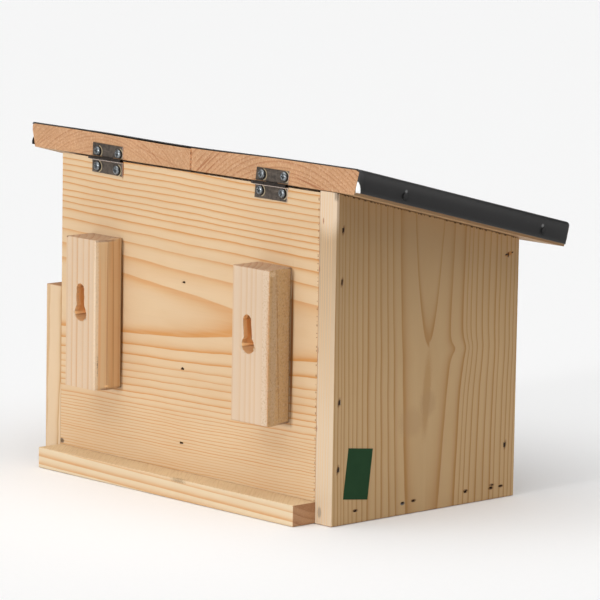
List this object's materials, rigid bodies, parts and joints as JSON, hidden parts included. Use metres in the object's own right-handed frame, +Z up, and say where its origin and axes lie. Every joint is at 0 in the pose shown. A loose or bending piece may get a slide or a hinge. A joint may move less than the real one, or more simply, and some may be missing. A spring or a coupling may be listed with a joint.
{
  "type": "squirrel feeder",
  "caption": "Wooden wall-hung squirrel feeder with a nut hopper behind a clear pane, a side feeding bay and a hinged, metal-covered sloping lid.",
  "frame": {"origin": "middle of the overall box's underside, on the ground that the feeder stands on", "axes": "+Z up, the window faces -Y, the hanging side with its two blocks faces +Y, the tall side is at -X and the low side at +X"},
  "size_m": [0.372, 0.2488, 0.2666],
  "materials": {
    "board_pine": "planed raw softwood, horizontal grain",
    "side_pine": "planed raw softwood, upright grain",
    "block_pine": "planed raw softwood, upright grain",
    "roof_pine": "sawn raw softwood with open end grain",
    "window_plastic": "clear acrylic sheet",
    "zinc_steel": "zinc plated",
    "brad_steel": "bright steel brad, sunk below the wood",
    "hinge_steel": "dull rolled steel",
    "sheet_metal": "charcoal coated steel sheet, satin",
    "label": "plain dark green sticker"
  },
  "bodies": {
    "box": {"base_board": "board_pine", "back_panel": "board_pine", "tall_side_panel": "side_pine", "low_side_panel": "side_pine", "partition": "board_pine", "front_board": "board_pine", "front_rail": "board_pine", "front_window": "window_plastic", "window_screws": "zinc_steel", "hanger_block_left": "block_pine", "hanger_block_right": "block_pine", "hanger_screws": "zinc_steel", "tall_side_rear_brads": "brad_steel", "tall_side_base_brads": "brad_steel", "tall_side_front_brads": "brad_steel", "low_side_rear_brads": "brad_steel", "low_side_base_brads": "brad_steel", "low_side_front_brads": "brad_steel", "partition_rear_brads": "brad_steel", "partition_front_brads": "brad_steel", "side_label": "label", "hinge_left_lower_leaf": "hinge_steel", "hinge_right_lower_leaf": "hinge_steel", "lower_leaf_screws": "zinc_steel", "hinge_left_pin": "hinge_steel", "hinge_right_pin": "hinge_steel"},
    "lid": {"roof_board_left": "roof_pine", "roof_board_right": "roof_pine", "roof_sheet": "sheet_metal", "roof_nails_left": "sheet_metal", "roof_nails_right": "sheet_metal", "hinge_left_upper_leaf": "hinge_steel", "hinge_right_upper_leaf": "hinge_steel", "upper_leaf_screws": "zinc_steel"}
  },
  "joints": [
    {"name": "lid_hinge", "type": "hinge", "parent": "box", "child": "lid", "pos_m": [0.002, 0.10018, 0.2461], "axis": [-1, 0, 0], "range_deg": [0, 105]}
  ]
}
